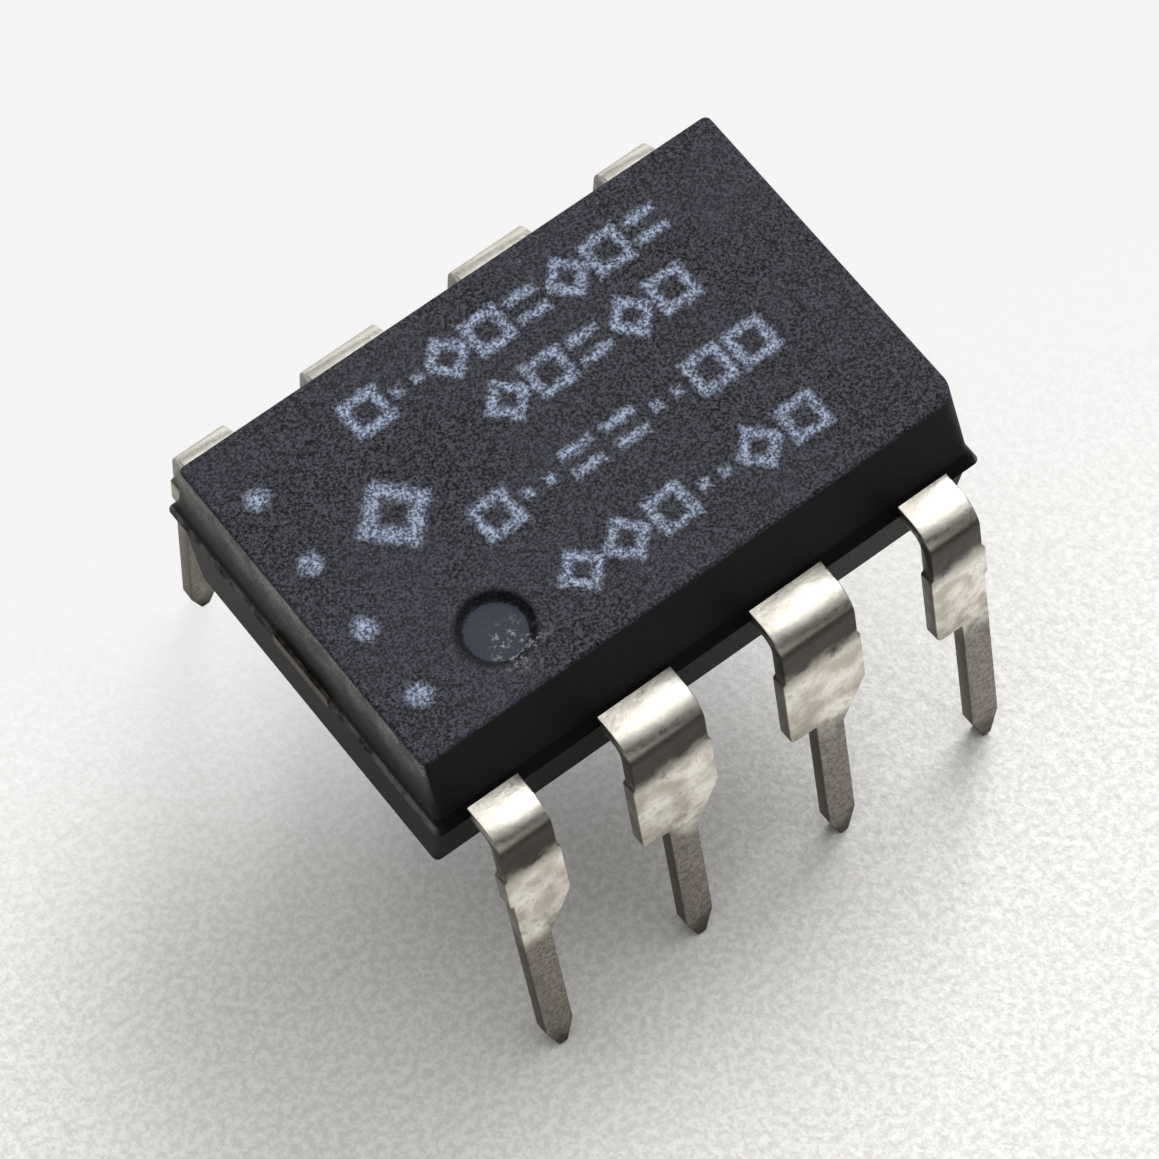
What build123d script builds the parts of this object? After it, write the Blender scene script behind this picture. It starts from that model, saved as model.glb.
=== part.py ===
from build123d import *

import os
from math import cos, radians, sin, tan

# Eight-lead plastic dual in-line package, standing on the tips of its leads.
# Millimetres. +Z is up, X runs along the two lead rows and leads 1 to 4 are the row on the -Y side.
# The origin is on the plane of the lead tips, under the middle of the body.

# Leadframe, stamped from one strip
leads_per_row = 4
pitch = 2.54
lead_thickness = 0.25
lead_plane = 5.60  # height of the middle of the strip above the lead tips
row_width = 7.59  # over the outer faces of the two rows, at the bends
bend_radius = 0.20  # inside radius
shoulder_width = 1.24
stub_width = 1.33  # the dam bar is sheared off a little outside the shoulder
leg_width = 0.46
stub_depth = 0.85  # the next depths are all measured down from the lead plane
taper_depth = 1.95
taper_end_depth = 2.70
step_depth = 2.42
outer_stub = 0.05  # dam bar left on the outer edge of a corner lead
outer_stub_end_depth = 1.55
tip_length = 0.50
tip_width = 0.14
corner_round = 0.12
small_round = 0.05
lead_splay = [7.6, 6.2, 6.2, 6.8, 6.4, 6.6, 6.3, 6.8]  # outward lean of leads 1 to 8, degrees

# Moulded body
body_length = 8.95  # at the parting line, without its ridge
body_width = 6.06
upper_height = 1.53
lower_height = 1.62
end_draft = 1.0  # degrees
side_draft = 10.0
ridge = 0.09  # how far the parting line stands out
ridge_height = 0.20  # of each of its two slopes
ridge_blend = 0.10
crisp_corner = 0.10
blunt_corner = 0.34  # the corner beside lead 4, at the top only
edge_round = 0.05

# Round mark beside lead 1
dimple_radius = 0.54
dimple_floor_radius = 0.43
dimple_depth = 0.13
dimple_from_end = 1.95
dimple_from_side = 1.02
dimple_rim_round = 0.04

# Inside the body
pad_length = 3.20
pad_width = 2.10
tie_bar_width = 1.25
finger_width = 0.50
finger_gap = 0.25  # between a finger and the pad or the tie bar
finger_cut = 0.25  # length of a finger's bevelled inner corner
shoulder_bite = 0.45  # how far the full shoulder width runs into the body
attach_thickness = 0.03
attach_margin = 0.08  # of adhesive around the die
die_length = 1.70
die_width = 1.30
die_thickness = 0.30
die_edge = 0.12  # from the edge of the die to its bond pads
corner_pad_from_side = 0.36  # the bond pads that serve the corner leads
inner_pad_from_middle = 0.42
wire_radius = 0.02
ball_radius = 0.045
ball_height = 0.03
wire_loop = 0.22  # rise of a wire above the die
wire_bend = 0.08
wire_crest = 0.35  # share of the span that a wire stays at its full height
stitch_length = 0.10

# Worked out from the sizes above
strip_bottom = lead_plane - lead_thickness / 2
strip_top = lead_plane + lead_thickness / 2
bend_start = row_width / 2 - bend_radius - lead_thickness
bend_axis_height = strip_bottom - bend_radius
body_half_length = body_length / 2 + ridge
finger_root = body_width / 2 - shoulder_bite
pad_edge = pad_width / 2 + finger_gap
tie_bar_edge = tie_bar_width / 2 + finger_gap
die_bottom = strip_top + attach_thickness
die_top = die_bottom + die_thickness
row_end = (leads_per_row - 1) / 2 * pitch


def lead_place(number):
    """The side of the body, +1 or -1 along Y, and the distance along its row, for one lead."""
    side = -1 if number <= leads_per_row else 1
    position = (number - 1) % leads_per_row
    return side, row_end - position * pitch


def finger_outline(along):
    """Strip inside the body and its shoulder, seen from above. Toward the pad is -Y here."""
    inward = -1 if along > 0 else 1
    if abs(along) < row_end - pitch / 2:
        half = shoulder_width / 2
        neck = finger_root - (shoulder_width - finger_width) / 2
        return [
            (along - half, bend_start),
            (along - half, finger_root),
            (along - finger_width / 2, neck),
            (along - finger_width / 2, pad_edge),
            (along + finger_width / 2, pad_edge),
            (along + finger_width / 2, neck),
            (along + half, finger_root),
            (along + half, bend_start),
        ]
    outer = along - inward * leg_width / 2
    inner = along + inward * shoulder_width / 2
    tip = -inward * (pad_length / 2 + finger_gap)
    bent = outer + inward * finger_width
    return [
        (outer, bend_start),
        (outer, tie_bar_edge + finger_width),
        (bent, tie_bar_edge),
        (tip, tie_bar_edge),
        (tip, tie_bar_edge + finger_width),
        (bent + inward * finger_cut, tie_bar_edge + finger_width),
        (bent, tie_bar_edge + finger_width + finger_cut),
        (bent, finger_root - finger_width / 2),
        (inner, finger_root),
        (inner, bend_start),
    ]


def leg_edge(kind, down, length):
    """One long edge of a leg as (distance from the centre line, distance down, corner radius)."""
    leg = leg_width / 2
    stub = stub_width / 2
    proud = stub - shoulder_width / 2
    tip = [(leg, length - tip_length, small_round), (tip_width / 2, length, 0)]
    if kind == "flush":
        bump = leg + outer_stub
        return [
            (leg, 0, 0),
            (leg, down(stub_depth), 0),
            (bump, down(stub_depth) + outer_stub, 0),
            (bump, down(outer_stub_end_depth) - outer_stub, 0),
            (leg, down(outer_stub_end_depth), 0),
        ] + tip
    wide = [(shoulder_width / 2, 0, 0), (shoulder_width / 2, down(stub_depth), 0)]
    wide += [(stub, down(stub_depth) + proud, 0)]
    if kind == "taper":
        wide += [(stub, down(taper_depth), corner_round), (leg, down(taper_end_depth), small_round)]
    else:
        wide += [(stub, down(step_depth), corner_round), (leg, down(step_depth), small_round)]
    return wide + tip


def make_lead(number):
    """One lead: flat finger and shoulder, a quarter bend and a leg that leans outward."""
    side, along = lead_place(number)
    splay = radians(lead_splay[number - 1])
    plus_kind = "flush" if along > row_end - pitch / 2 else "step"
    minus_kind = "flush" if along < pitch / 2 - row_end else "taper"
    plus_half = leg_width / 2 if plus_kind == "flush" else shoulder_width / 2
    minus_half = leg_width / 2 if minus_kind == "flush" else shoulder_width / 2
    centre = side * (along + (plus_half - minus_half) / 2)

    # Inner face of the leg where the bend ends. Its length brings the lowest edge to the tips' plane.
    leg_start_y = side * (bend_start + bend_radius * cos(splay))
    leg_start_z = bend_axis_height + bend_radius * sin(splay)
    leg_length = leg_start_z / cos(splay)

    def down(depth):
        return (leg_start_z - lead_plane + depth) / cos(splay)

    plus_edge = leg_edge(plus_kind, down, leg_length)
    minus_edge = [(-x, y, r) for x, y, r in leg_edge(minus_kind, down, leg_length)]
    outline = plus_edge + minus_edge[::-1]

    strip = Plane(origin=(0, 0, strip_bottom), x_dir=(side, 0, 0), z_dir=(0, 0, 1))
    section = Plane(origin=(centre, side * bend_start, lead_plane), x_dir=(side, 0, 0), z_dir=(0, side, 0))
    leg_face = Plane(
        origin=(side * along, leg_start_y, leg_start_z),
        x_dir=(side, 0, 0),
        z_dir=(0, side * cos(splay), sin(splay)),
    )
    with BuildPart() as lead:
        with BuildSketch(strip):
            with BuildLine():
                Polyline(finger_outline(along), close=True)
            make_face()
        extrude(amount=lead_thickness)
        with BuildSketch(section):
            Rectangle(plus_half + minus_half, lead_thickness)
        revolve(
            axis=Axis((0, side * bend_start, bend_axis_height), (-side, 0, 0)),
            revolution_arc=90 - lead_splay[number - 1],
        )
        with BuildSketch(leg_face):
            with BuildLine():
                FilletPolyline([(x, y) for x, y, r in outline], radius=[r for x, y, r in outline], close=True)
            make_face()
        extrude(amount=lead_thickness)
    return lead


# Die pad with its two tie bars, which were cut off flush with the parting line at both ends
with BuildPart() as die_pad:
    with BuildSketch(Plane.XY.offset(strip_bottom)):
        Rectangle(pad_length, pad_width)
        Rectangle(2 * body_half_length, tie_bar_width)
    extrude(amount=lead_thickness)

# Adhesive under the die
with BuildPart() as die_attach:
    with BuildSketch(Plane.XY.offset(strip_top)):
        Rectangle(die_length + 2 * attach_margin, die_width + 2 * attach_margin)
    extrude(amount=attach_thickness)

# Silicon die
with BuildPart() as silicon_die:
    with BuildSketch(Plane.XY.offset(die_bottom)):
        Rectangle(die_length, die_width)
    extrude(amount=die_thickness)


def make_wire(number):
    """Gold wire from a ball on the die, over a low loop, to a stitch on the lead's finger."""
    side, along = lead_place(number)
    toward_end = 1 if along > 0 else -1
    corner = abs(along) > row_end - pitch / 2
    if corner:
        start = (die_length / 2 - die_edge, die_width / 2 - corner_pad_from_side)
        end = (pad_length / 2 + finger_gap + stitch_length, tie_bar_edge + finger_width / 2)
    else:
        start = (inner_pad_from_middle, die_width / 2 - die_edge)
        end = (pitch / 2, pad_edge + stitch_length)
    start_x, start_y = side * toward_end * start[0], side * start[1]
    end_x, end_y = side * toward_end * end[0], side * end[1]
    span = Vector(end_x - start_x, end_y - start_y, 0)
    ahead = span.normalized()
    peak = die_top + wire_loop
    landing = Vector(end_x, end_y, strip_top + wire_radius)
    route = [
        Vector(start_x, start_y, die_top + ball_height / 2),
        Vector(start_x, start_y, peak),
        Vector(start_x, start_y, peak) + span * wire_crest,
        landing,
        landing + ahead * stitch_length,
    ]
    with BuildPart() as wire:
        with BuildLine() as path:
            FilletPolyline(route, radius=wire_bend)
        with BuildSketch(Plane(origin=path.line @ 0, z_dir=path.line % 0)):
            Circle(wire_radius)
        sweep()
        with BuildSketch(Plane(origin=(start_x, start_y, die_top))):
            Circle(ball_radius)
        extrude(amount=ball_height)
    return wire


lead_numbers = range(1, 2 * leads_per_row + 1)
leads = [make_lead(number) for number in lead_numbers]
wires = [make_wire(number) for number in lead_numbers]


def body_section(height):
    """Length and width of the body's walls at a height above or below the lead plane."""
    return (
        body_length - 2 * abs(height) * tan(radians(end_draft)),
        body_width - 2 * abs(height) * tan(radians(side_draft)),
    )


# Epoxy body, moulded round everything inside it
blunt_way = Axis((0, 0, 0), (1, -1, 0))
levels = [-lower_height, -ridge_height, 0, ridge_height, upper_height]
with BuildPart() as body:
    for level in levels:
        length, width = body_section(level)
        out = 2 * ridge if level == 0 else 0
        last_corner = blunt_corner if level == upper_height else crisp_corner
        with BuildSketch(Plane.XY.offset(lead_plane + level)) as outline:
            Rectangle(length + out, width + out)
            fillet(outline.vertices().sort_by(blunt_way)[:-1], crisp_corner)
            fillet(outline.vertices().sort_by(blunt_way)[-1], last_corner)
    loft(ruled=True)
    for foot in (-ridge_height, ridge_height):
        fillet(body.edges().filter_by_position(Axis.Z, lead_plane + foot, lead_plane + foot), ridge_blend)
    fillet(body.faces().sort_by(Axis.Z)[0].edges() + body.faces().sort_by(Axis.Z)[-1].edges(), edge_round)

    # Round mark, a shallow cone with a flat floor
    top = lead_plane + upper_height
    top_length, top_width = body_section(upper_height)
    mark_place = Plane(origin=(dimple_from_end - top_length / 2, dimple_from_side - top_width / 2, top))
    with BuildSketch(mark_place.offset(-dimple_depth)):
        Circle(dimple_floor_radius)
    with BuildSketch(mark_place):
        Circle(dimple_radius)
    loft(mode=Mode.SUBTRACT)
    top_arcs = body.edges().filter_by_position(Axis.Z, top, top).filter_by(GeomType.CIRCLE)
    fillet(top_arcs.sort_by(SortBy.RADIUS)[-1], dimple_rim_round)

    for piece in (die_pad, die_attach, silicon_die, *leads, *wires):
        add(piece.part, mode=Mode.SUBTRACT)

pieces = {"moulded_body": body, "die_pad": die_pad, "die_attach": die_attach, "silicon_die": silicon_die}
pieces |= {f"lead_{number}": lead for number, lead in zip(lead_numbers, leads)}
pieces |= {f"bond_wire_{number}": wire for number, wire in zip(lead_numbers, wires)}

os.makedirs("parts", exist_ok=True)
for name, piece in pieces.items():
    piece.part.label = name
    export_step(piece.part, f"parts/{name}.step")
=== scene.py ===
import bmesh
import bpy
import math
from mathutils import Matrix, Vector


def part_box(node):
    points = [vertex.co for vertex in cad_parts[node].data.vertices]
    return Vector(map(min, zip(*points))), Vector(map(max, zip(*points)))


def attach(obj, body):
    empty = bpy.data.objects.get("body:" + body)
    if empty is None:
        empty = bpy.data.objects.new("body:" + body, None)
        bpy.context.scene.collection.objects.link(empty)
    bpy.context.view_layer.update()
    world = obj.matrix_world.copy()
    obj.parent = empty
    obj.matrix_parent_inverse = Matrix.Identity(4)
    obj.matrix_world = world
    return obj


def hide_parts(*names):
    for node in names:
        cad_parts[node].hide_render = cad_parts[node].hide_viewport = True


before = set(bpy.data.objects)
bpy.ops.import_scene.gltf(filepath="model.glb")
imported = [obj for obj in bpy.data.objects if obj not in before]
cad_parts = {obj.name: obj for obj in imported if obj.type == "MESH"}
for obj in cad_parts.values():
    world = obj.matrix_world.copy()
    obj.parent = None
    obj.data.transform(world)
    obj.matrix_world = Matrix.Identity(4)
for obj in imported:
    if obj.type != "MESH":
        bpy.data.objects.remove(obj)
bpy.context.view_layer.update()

# Moulded body. One block of silica-filled black epoxy, pressed round the leadframe in a two-part mould.
# Its top has the sandy grain of the spark-eroded mould, a round locating mark beside lead 1 and a worn
# print of plain shapes; the steep walls came off a smoother part of the mould, and their colour is painted
# nearly black as painted shade, with painted reflection and painted light on the ends.
MM = 0.001
body_end, _, body_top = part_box("moulded_body")[1]
parting_height = 5.60 * MM
mark_centre = (-2.498 * MM, -1.740 * MM, 0)
mark_floor_radius = 0.43 * MM
mark_reach = 0.62 * MM  # out to the end of its rounded rim
scuff_centre = (-2.40 * MM, -2.08 * MM, 0)


def new_material(name):
    material = bpy.data.materials.new(name)
    material.use_nodes = True
    tree = material.node_tree
    return material, tree, tree.nodes["Principled BSDF"]


def add(tree, kind, sockets, **settings):
    """Adds a shader node. Each socket gets another node's output, or else a plain value."""
    made = tree.nodes.new("ShaderNode" + kind)
    for key, value in settings.items():
        setattr(made, key, value)
    for key, value in sockets.items():
        if isinstance(value, bpy.types.NodeSocket):
            tree.links.new(value, made.inputs[key])
        else:
            made.inputs[key].default_value = value
    return made


def noise(tree, place, scale, detail=3.0, roughness=0.55):
    sockets = {"Vector": place, "Scale": scale, "Detail": detail, "Roughness": roughness}
    return add(tree, "TexNoise", sockets).outputs["Fac"]


def ramp(tree, value, low, high, start=0.0, end=1.0):
    """Rises smoothly from start to end as the value goes from low to high."""
    sockets = {"Value": value, "From Min": low, "From Max": high, "To Min": start, "To Max": end}
    return add(tree, "MapRange", sockets, interpolation_type="SMOOTHSTEP").outputs["Result"]


def calc(tree, operation, *values):
    return add(tree, "Math", dict(enumerate(values)), operation=operation).outputs[0]


def mix(tree, factor, first, second):
    first, second = (c if isinstance(c, bpy.types.NodeSocket) else (*c, 1) for c in (first, second))
    return add(tree, "Mix", {0: factor, 6: first, 7: second}, data_type="RGBA").outputs[2]


def distance(tree, place, point):
    """Distance from a point, seen from above."""
    flat = add(tree, "VectorMath", {0: place, 1: (1, 1, 0)}, operation="MULTIPLY").outputs[0]
    return add(tree, "VectorMath", {0: flat, 1: point}, operation="DISTANCE").outputs["Value"]


def node_group(name, inputs, outputs):
    """A new group, its input node and its output node. Inputs are (name, kind, value)."""
    group = bpy.data.node_groups.new(name, "ShaderNodeTree")
    for label, kind, value in inputs:
        group.interface.new_socket(name=label, in_out="INPUT", socket_type=kind).default_value = value
    for label, kind in outputs:
        group.interface.new_socket(name=label, in_out="OUTPUT", socket_type=kind)
    return group, group.nodes.new("NodeGroupInput").outputs, group.nodes.new("NodeGroupOutput").inputs


def place_group(tree, group, sockets):
    return add(tree, "Group", sockets, node_tree=group).outputs


def make_print_row():
    """Mask of one row of plain printed shapes: squares, diamonds, paired bars and paired spots."""
    inputs = [("Place", "NodeSocketVector", (0, 0, 0))]
    labels = ("Start", "Across", "Step", "Count", "Size", "Seed")
    inputs += [(label, "NodeSocketFloat", 1.0) for label in labels]
    group, given, out = node_group("print_row", inputs, [("Mask", "NodeSocketFloat")])
    split = add(group, "SeparateXYZ", {0: given["Place"]}).outputs
    steps = calc(group, "DIVIDE", calc(group, "SUBTRACT", split["X"], given["Start"]), given["Step"])
    last = calc(group, "SUBTRACT", given["Count"], 1.0)
    index = calc(group, "MINIMUM", calc(group, "MAXIMUM", calc(group, "ROUND", steps), 0.0), last)
    centre = calc(group, "MULTIPLY_ADD", index, given["Step"], given["Start"])
    size = calc(group, "MULTIPLY", given["Size"], MM)
    side = calc(group, "DIVIDE", calc(group, "ABSOLUTE", calc(group, "SUBTRACT", split["X"], centre)), size)
    rise = calc(
        group, "DIVIDE", calc(group, "ABSOLUTE", calc(group, "SUBTRACT", split["Y"], given["Across"])), size
    )
    square = calc(group, "ABSOLUTE", calc(group, "SUBTRACT", calc(group, "MAXIMUM", side, rise), 0.24))
    slant = calc(group, "MULTIPLY", calc(group, "ADD", side, rise), math.sqrt(0.5))
    diamond = calc(group, "ABSOLUTE", calc(group, "SUBTRACT", slant, 0.20))
    bars = calc(
        group,
        "MAXIMUM",
        calc(group, "ABSOLUTE", calc(group, "SUBTRACT", rise, 0.17)),
        calc(group, "SUBTRACT", side, 0.18),
    )
    spots = calc(group, "MAXIMUM", calc(group, "ABSOLUTE", calc(group, "SUBTRACT", side, 0.17)), rise)
    order = calc(group, "MULTIPLY_ADD", index, 1.7, given["Seed"])
    pick = add(group, "TexWhiteNoise", {"W": order}, noise_dimensions="1D").outputs["Value"]
    shape = square
    for limit, other in ((0.35, diamond), (0.62, bars), (0.86, spots)):
        chosen = calc(group, "GREATER_THAN", pick, limit)
        shape = add(group, "Mix", {0: chosen, 2: shape, 3: other}, data_type="FLOAT").outputs[0]
    group.links.new(ramp(group, shape, 0.125, 0.005), out["Mask"])
    return group


epoxy, tree, shader = new_material("moulding_epoxy")
place = add(tree, "TexCoord", {}).outputs["Object"]
split = add(tree, "SeparateXYZ", {0: place}).outputs
grain = noise(tree, place, 26000, 4.0, 0.75)
clouds = noise(tree, place, 520, 3.0, 0.55)
pits = ramp(tree, noise(tree, place, 9000, 2.0, 0.6), 0.68, 0.74)
specks = ramp(tree, noise(tree, place, 15000, 3.0, 0.75), 0.64, 0.71)

# the top: blue-grey grain, paler in soft clouds, with pale specks of dust
top = mix(tree, ramp(tree, grain, 0.41, 0.62), (0.005, 0.005, 0.007), (0.078, 0.079, 0.100))
top = mix(tree, ramp(tree, clouds, 0.38, 0.68, 0.0, 0.25), top, (0.056, 0.058, 0.074))
top = mix(tree, calc(tree, "MULTIPLY", specks, 0.5), top, (0.26, 0.26, 0.27))

# the round mark: a smooth floor, its sloping side painted dark as painted shade, and a scuffed rim
from_mark = distance(tree, place, mark_centre)
mark_floor = ramp(tree, from_mark, 1.04 * mark_floor_radius, 0.94 * mark_floor_radius, 0.0, 0.8)
top = mix(tree, mark_floor, top, (0.042, 0.049, 0.067))
# painted shade: the sloping side of the mark darkened to near black
mark_slope_shade = calc(
    tree,
    "MULTIPLY",
    ramp(tree, from_mark, 1.48 * mark_floor_radius, 1.25 * mark_floor_radius),
    ramp(tree, from_mark, 0.98 * mark_floor_radius, 1.10 * mark_floor_radius, 0.0, 0.75),
)
top = mix(tree, mark_slope_shade, top, (0.007, 0.007, 0.009))
flecks = ramp(tree, noise(tree, place, 7000, 4.0, 0.8), 0.53, 0.62)
scuffed = ramp(tree, distance(tree, place, scuff_centre), 0.55 * MM, 0.15 * MM, 0.0, 0.6)
top = mix(tree, calc(tree, "MULTIPLY", flecks, scuffed), top, (0.42, 0.43, 0.45))

# the worn print: rows of plain shapes, one larger shape and four dots, all in broken blue-grey ink
drift = add(tree, "TexNoise", {"Vector": place, "Scale": 8000.0, "Detail": 3.0}).outputs["Color"]
drift = add(tree, "VectorMath", {0: drift, 1: (0.5, 0.5, 0.5)}, operation="SUBTRACT").outputs[0]
fuzz = (0.16 * MM,) * 3  # how far the edges of the print wander
worn_place = add(tree, "VectorMath", {0: drift, 1: fuzz, 2: place}, operation="MULTIPLY_ADD").outputs[0]
print_row = make_print_row()
rows = [  # start, place across, step, count, size, seed
    (-1.95, 1.90, 0.67, 8, 1.00, 1.0),
    (-0.35, 0.88, 0.69, 5, 1.00, 7.0),
    (-1.50, -0.42, 0.71, 7, 1.00, 4.0),
    (-1.10, -1.76, 0.74, 6, 1.00, 9.0),
    (-2.57, 0.44, 1.00, 1, 1.55, 7.0),
]
printed = 0.0
for start, across, step, count, size, seed in rows:
    sockets = {"Place": worn_place, "Start": start * MM, "Across": across * MM, "Step": step * MM}
    sockets |= {"Count": count, "Size": size, "Seed": seed}
    printed = calc(tree, "MAXIMUM", place_group(tree, print_row, sockets)["Mask"], printed)
dot_x, first_dot_y, dot_step, last_dot = -3.87 * MM, 1.74 * MM, -1.22 * MM, 3
worn = add(tree, "SeparateXYZ", {0: worn_place}).outputs
dot = calc(tree, "ROUND", calc(tree, "DIVIDE", calc(tree, "SUBTRACT", worn["Y"], first_dot_y), dot_step))
dot = calc(tree, "MINIMUM", calc(tree, "MAXIMUM", dot, 0.0), last_dot)
dot_y = calc(tree, "MULTIPLY_ADD", dot, dot_step, first_dot_y)
dot_centre = add(tree, "CombineXYZ", {"X": dot_x, "Y": dot_y}).outputs[0]
dots = ramp(tree, distance(tree, worn_place, dot_centre), 0.25 * MM, 0.06 * MM)
printed = calc(tree, "MAXIMUM", printed, dots)
broken = ramp(tree, noise(tree, place, 26000, 3.0, 0.7), 0.40, 0.60, 0.25, 1.0)
ink = mix(tree, ramp(tree, grain, 0.35, 0.65), (0.16, 0.19, 0.27), (0.42, 0.50, 0.66))
top = mix(tree, calc(tree, "MULTIPLY", printed, broken), top, ink)

# the walls, with their light and shade painted in: the long ones painted nearly black as painted shade,
# the ends paler toward the top edge as a painted reflection and along the parting line as painted light
wall = mix(tree, ramp(tree, grain, 0.3, 0.8), (0.0015, 0.0016, 0.002), (0.006, 0.006, 0.007))
from_middle = calc(tree, "ABSOLUTE", split["X"])
patchy_painted_light = ramp(tree, noise(tree, place, 2400, 5.0, 0.7), 0.36, 0.62)
# painted reflection: the end walls turn pale grey toward the top edge, in soft patches
rising = ramp(tree, split["Z"], 6.0 * MM, 7.1 * MM)
painted_end_reflection = calc(tree, "MULTIPLY", rising, calc(tree, "MULTIPLY_ADD", patchy_painted_light, 0.6, 0.4))
end_wall = mix(tree, painted_end_reflection, (0.004, 0.004, 0.005), (0.32, 0.32, 0.325))
end_wall = mix(tree, ramp(tree, grain, 0.40, 0.60, 0.0, 0.7), end_wall, (0.02, 0.02, 0.022))
wall = mix(tree, ramp(tree, from_middle, body_end - 0.165 * MM, body_end - 0.125 * MM), wall, end_wall)
# painted light: a pale grey strip along the parting line at the ends, in soft patches
from_parting = calc(tree, "ABSOLUTE", calc(tree, "SUBTRACT", split["Z"], parting_height))
painted_lip_light = calc(
    tree,
    "MULTIPLY",
    ramp(tree, from_parting, 0.13 * MM, 0.08 * MM, 0.0, 0.8),
    ramp(tree, from_middle, body_end - 0.075 * MM, body_end - 0.055 * MM),
)
wall = mix(tree, calc(tree, "MULTIPLY", painted_lip_light, patchy_painted_light), wall, (0.17, 0.168, 0.16))
wall = mix(tree, calc(tree, "MULTIPLY", specks, 0.35), wall, (0.05, 0.05, 0.052))

on_top = ramp(tree, split["Z"], body_top - 0.07 * MM, body_top - 0.02 * MM)
on_top = calc(tree, "MAXIMUM", on_top, ramp(tree, from_mark, mark_reach, mark_reach - 0.04 * MM))
colour = mix(tree, on_top, wall, top)
tree.links.new(colour, shader.inputs["Base Color"])
tree.links.new(ramp(tree, grain, 0.25, 0.75, 0.42, 0.62), shader.inputs["Roughness"])
height = calc(tree, "SUBTRACT", grain, calc(tree, "MULTIPLY", pits, 0.8))
height = calc(tree, "MULTIPLY_ADD", printed, 0.25, height)
bump = add(tree, "Bump", {"Strength": 0.5, "Distance": 0.008 * MM, "Height": height})
tree.links.new(bump.outputs["Normal"], shader.inputs["Normal"])
shader.inputs["Specular IOR Level"].default_value = 0.06


def dress(name, material):
    """Gives a CAD piece its finish."""
    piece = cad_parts[name]
    piece.data.materials.clear()
    piece.data.materials.append(material)


dress("moulded_body", epoxy)

# Leads. Stamped copper alloy strip, dipped in solder after the dam bars were sheared off. The coat rounds
# the sheared edges. Its colour is painted near white on the shoulders as a painted highlight, with a dark
# band on the bends as a painted reflection of the dark room low in front; it is mottled on the wide part,
# dull and brown on the legs, and nearly black where the tips were cut.
coat_round = 0.022 * MM
merge_distance = 0.0005 * MM

tin, tree, shader = new_material("tinned_lead")
place = add(tree, "TexCoord", {}).outputs["Object"]
height = add(tree, "SeparateXYZ", {0: place}).outputs["Z"]
patches = noise(tree, place, 2600, 3.0, 0.6)
grit = noise(tree, place, 15000, 4.0, 0.75)
level = calc(tree, "MULTIPLY_ADD", calc(tree, "SUBTRACT", patches, 0.5), 1.2 * MM, height)
leg = mix(tree, ramp(tree, grit, 0.32, 0.68), (0.15, 0.135, 0.117), (0.44, 0.405, 0.36))
wide = mix(tree, ramp(tree, patches, 0.35, 0.65), (0.58, 0.54, 0.47), (0.97, 0.94, 0.87))
bright = mix(tree, ramp(tree, patches, 0.3, 0.7), (0.86, 0.82, 0.73), (0.97, 0.95, 0.88))
colour = mix(tree, ramp(tree, level, 2.8 * MM, 3.5 * MM), leg, wide)
stain = ramp(tree, noise(tree, place, 5200, 4.0, 0.7), 0.52, 0.66, 0.0, 0.35)
colour = mix(tree, stain, colour, (0.24, 0.20, 0.145))
# painted reflection: a dark band over the bends, where the lead would mirror the dark room low in front
band_level = calc(tree, "MULTIPLY_ADD", calc(tree, "SUBTRACT", patches, 0.5), 0.7 * MM, height)
colour = mix(tree, ramp(tree, band_level, 4.50 * MM, 5.00 * MM), colour, (0.045, 0.039, 0.033))
# painted highlight: the shoulders' colour raised near white
colour = mix(tree, ramp(tree, height, 5.44 * MM, 5.66 * MM), colour, bright)
facing = add(tree, "SeparateXYZ", {0: add(tree, "NewGeometry", {}).outputs["Normal"]}).outputs["X"]
sheared_side = ramp(tree, calc(tree, "ABSOLUTE", facing), 0.40, 0.85, 0.0, 0.7)
colour = mix(tree, sheared_side, colour, (0.06, 0.05, 0.04))
colour = mix(tree, ramp(tree, level, 0.05 * MM, 0.70 * MM, 0.8, 0.0), colour, (0.03, 0.025, 0.02))
tree.links.new(colour, shader.inputs["Base Color"])
dullness = ramp(tree, level, 3.2 * MM, 5.4 * MM, 0.55, 0.32)
tree.links.new(
    calc(tree, "ADD", dullness, ramp(tree, grit, 0.3, 0.7, -0.05, 0.10)), shader.inputs["Roughness"]
)
relief = calc(tree, "MULTIPLY_ADD", grit, 0.35, patches)
bump = add(tree, "Bump", {"Strength": 0.45, "Distance": 0.022 * MM, "Height": relief})
tree.links.new(bump.outputs["Normal"], shader.inputs["Normal"])
shader.inputs["Metallic"].default_value = 1.0


def coat(name):
    """The lead with its solder coat, which rounds every sheared edge. It stands for the CAD lead."""
    shape = bmesh.new()
    shape.from_mesh(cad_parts[name].data)
    bmesh.ops.remove_doubles(shape, verts=shape.verts, dist=merge_distance)
    bmesh.ops.dissolve_limit(shape, angle_limit=math.radians(1), verts=shape.verts, edges=shape.edges)
    for face in shape.faces:
        face.smooth = True
    mesh = bpy.data.meshes.new("coated_" + name)
    shape.to_mesh(mesh)
    shape.free()
    mesh.materials.append(tin)
    piece = bpy.data.objects.new("coated_" + name, mesh)
    bpy.context.scene.collection.objects.link(piece)
    bevel = piece.modifiers.new("coat", "BEVEL")
    bevel.width = coat_round
    bevel.segments = 2
    bevel.limit_method = "ANGLE"
    bevel.angle_limit = math.radians(35)
    bevel.use_clamp_overlap = False
    bevel.harden_normals = True
    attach(piece, "root")
    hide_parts(name)


for number in range(1, 9):
    coat(f"lead_{number}")

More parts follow.
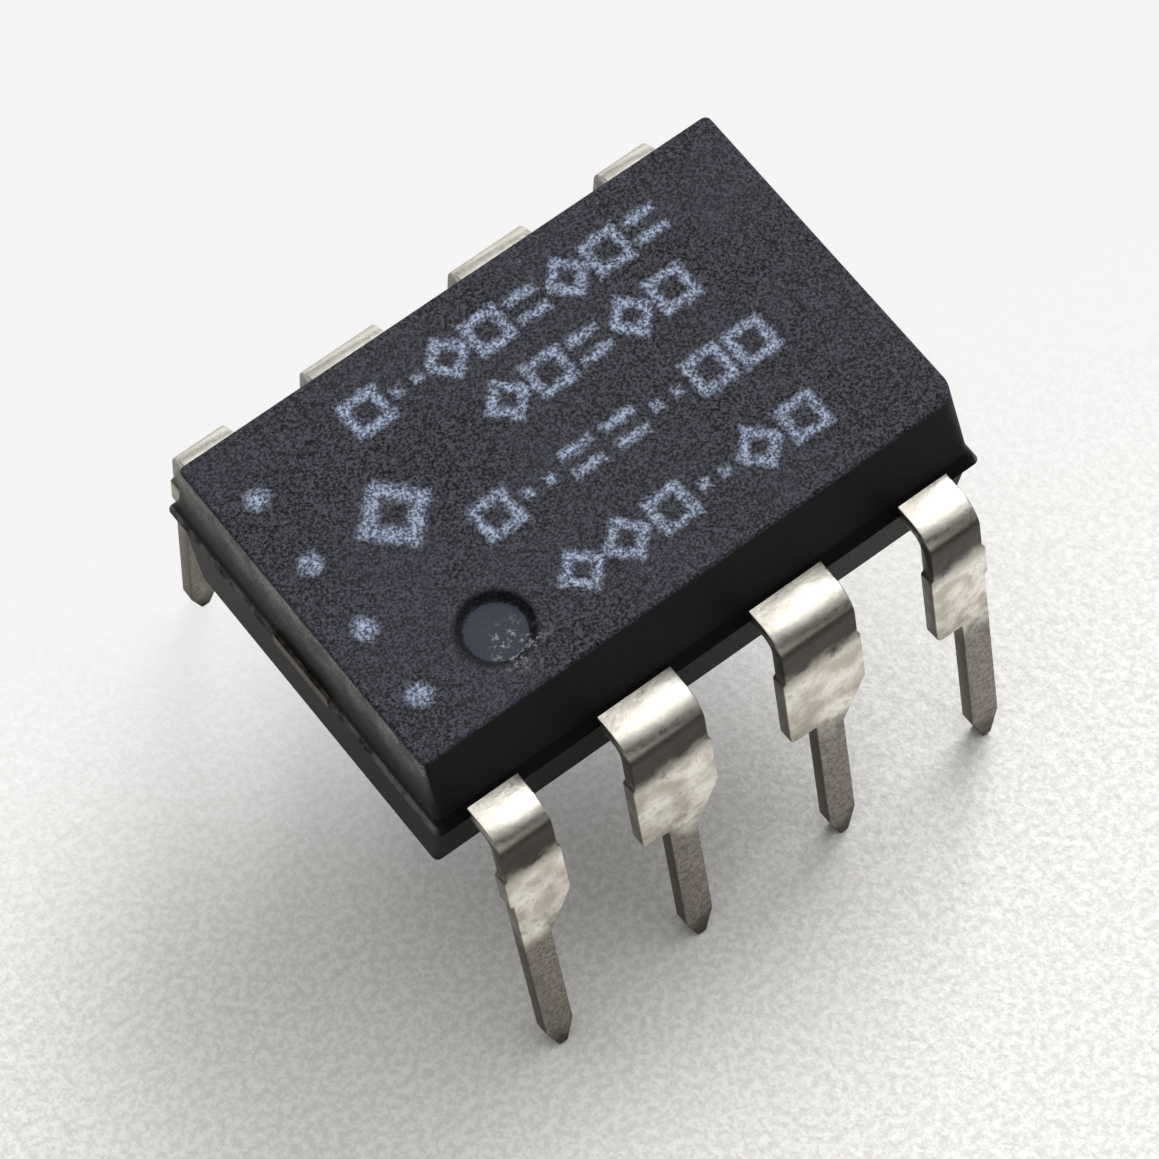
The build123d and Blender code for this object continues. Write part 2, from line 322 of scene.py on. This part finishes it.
# Die pad, die and wires. They are sealed in the epoxy; only the cut ends of the pad's tie bars show, and
# those are bare copper alloy with a dark tarnish.
def make_soft_patches():
    inputs = [("First", "NodeSocketColor", (0, 0, 0, 1)), ("Second", "NodeSocketColor", (1, 1, 1, 1))]
    inputs += [("Scale", "NodeSocketFloat", 5000.0), ("Roughness", "NodeSocketFloat", 0.5)]
    outputs = [("Color", "NodeSocketColor"), ("Roughness", "NodeSocketFloat")]
    group, given, out = node_group("soft_patches", inputs, outputs)
    place = add(group, "TexCoord", {}).outputs["Object"]
    patches = noise(group, place, given["Scale"])
    colour = mix(group, ramp(group, patches, 0.35, 0.65), given["First"], given["Second"])
    group.links.new(colour, out["Color"])
    spread = ramp(group, patches, 0.3, 0.7, -0.05, 0.10)
    group.links.new(calc(group, "ADD", given["Roughness"], spread), out["Roughness"])
    return group


soft_patches = make_soft_patches()


def patchy(name, first, second, scale, roughness, metallic):
    """A finish of two colours in soft patches, for the pieces inside."""
    material, tree, shader = new_material(name)
    sockets = {"First": (*first, 1), "Second": (*second, 1), "Scale": scale, "Roughness": roughness}
    surface = place_group(tree, soft_patches, sockets)
    tree.links.new(surface["Color"], shader.inputs["Base Color"])
    tree.links.new(surface["Roughness"], shader.inputs["Roughness"])
    shader.inputs["Metallic"].default_value = metallic
    return material


dress("die_pad", patchy("bare_leadframe", (0.02, 0.017, 0.015), (0.11, 0.09, 0.075), 6000, 0.5, 1.0))
dress("die_attach", patchy("silver_epoxy", (0.42, 0.42, 0.40), (0.60, 0.60, 0.58), 9000, 0.5, 0.4))
dress("silicon_die", patchy("silicon", (0.10, 0.11, 0.14), (0.20, 0.20, 0.24), 4000, 0.2, 0.6))
gold = patchy("gold_wire", (0.75, 0.52, 0.18), (0.90, 0.68, 0.30), 8000, 0.25, 1.0)
for number in range(1, 9):
    dress(f"bond_wire_{number}", gold)

# Table. A sheet of white card with a faint embossed grain. Behind the object it washes out to plain white,
# for the camera only, so the light on the object stays the same.
floor_mesh = bpy.data.meshes.new("table")
reach = 1.2
floor_mesh.from_pydata(
    [(-reach, -reach, 0), (reach, -reach, 0), (reach, reach, 0), (-reach, reach, 0)], [], [(0, 1, 2, 3)]
)
floor = bpy.data.objects.new("table", floor_mesh)
scene = bpy.context.scene
scene.collection.objects.link(floor)
card, tree, shader = new_material("white_card")
floor_mesh.materials.append(card)
place = add(tree, "TexCoord", {}).outputs["Object"]
mottle = noise(tree, place, 8500, 4.0, 0.75)
colour = mix(tree, ramp(tree, mottle, 0.40, 0.60), (0.76, 0.75, 0.725), (0.93, 0.93, 0.915))
tree.links.new(colour, shader.inputs["Base Color"])
fibres, waves = noise(tree, place, 9000, 2.0, 0.6), noise(tree, place, 3000, 3.0, 0.6)
emboss = calc(tree, "MULTIPLY_ADD", fibres, 0.4, waves)
bump = add(tree, "Bump", {"Strength": 0.6, "Distance": 0.06 * MM, "Height": emboss})
tree.links.new(bump.outputs["Normal"], shader.inputs["Normal"])
shader.inputs["Roughness"].default_value = 0.55
shader.inputs["Specular IOR Level"].default_value = 0.3
split = add(tree, "SeparateXYZ", {0: place}).outputs
behind = calc(tree, "MULTIPLY_ADD", split["X"], 0.35, split["Y"])
washed = calc(
    tree,
    "MULTIPLY",
    ramp(tree, behind, -4.0 * MM, 5.0 * MM),
    add(tree, "LightPath", {}).outputs["Is Camera Ray"],
)
white = add(tree, "Emission", {"Color": (0.91, 0.91, 0.91, 1), "Strength": 1.0}).outputs[0]
blend = add(tree, "MixShader", {0: washed, 1: shader.outputs[0], 2: white})
tree.links.new(blend.outputs[0], tree.nodes["Material Output"].inputs["Surface"])

# Light. A pale room, bright overhead and behind, dark low in front, and one wide soft lamp at the back
# right that throws the shadow toward the front left.
scene.view_settings.view_transform = "Standard"
world = bpy.data.worlds.new("studio")
world.use_nodes = True
scene.world = world
tree = world.node_tree
outward = add(tree, "TexCoord", {}).outputs["Generated"]
brightest_way = (0.15, 0.20, 0.97)
toward = add(tree, "VectorMath", {0: outward, 1: brightest_way}, operation="DOT_PRODUCT").outputs["Value"]
room = mix(tree, ramp(tree, toward, 0.15, 0.75), (0.05, 0.048, 0.045), (1.0, 1.0, 1.0))
softbox_way = (0.22, 0.02, 0.975)
softbox = add(tree, "VectorMath", {0: outward, 1: softbox_way}, operation="DOT_PRODUCT").outputs["Value"]
room = mix(tree, ramp(tree, softbox, 0.78, 0.95), room, (2.6, 2.55, 2.45))
tree.links.new(room, tree.nodes["Background"].inputs["Color"])
tree.nodes["Background"].inputs["Strength"].default_value = 0.60

lamp_place = Vector((250, 150, 300)) * MM
lamp = bpy.data.lights.new("window", "AREA")
lamp.shape = "RECTANGLE"
lamp.size = 0.22
lamp.size_y = 0.22
lamp.energy = 1.1
window = bpy.data.objects.new("window", lamp)
scene.collection.objects.link(window)
window.location = lamp_place
window.rotation_euler = (-lamp_place).to_track_quat("-Z", "Y").to_euler()

# Camera. A long lens high over the front left corner, rolled a little.
camera_place = Vector((-19.61, -30.66, 75.26)) * MM
camera_target = Vector((-0.80, -1.21, 5.60)) * MM
camera_roll = math.radians(-4.93)
camera_data = bpy.data.cameras.new("camera")
camera_data.sensor_width = 36
camera_data.lens = 180
camera_data.clip_start = 0.001
camera_data.clip_end = 10
camera = bpy.data.objects.new("camera", camera_data)
scene.collection.objects.link(camera)
aim = (camera_target - camera_place).to_track_quat("-Z", "Y").to_matrix().to_4x4()
camera.matrix_world = Matrix.Translation(camera_place) @ aim @ Matrix.Rotation(camera_roll, 4, "Z")
scene.camera = camera
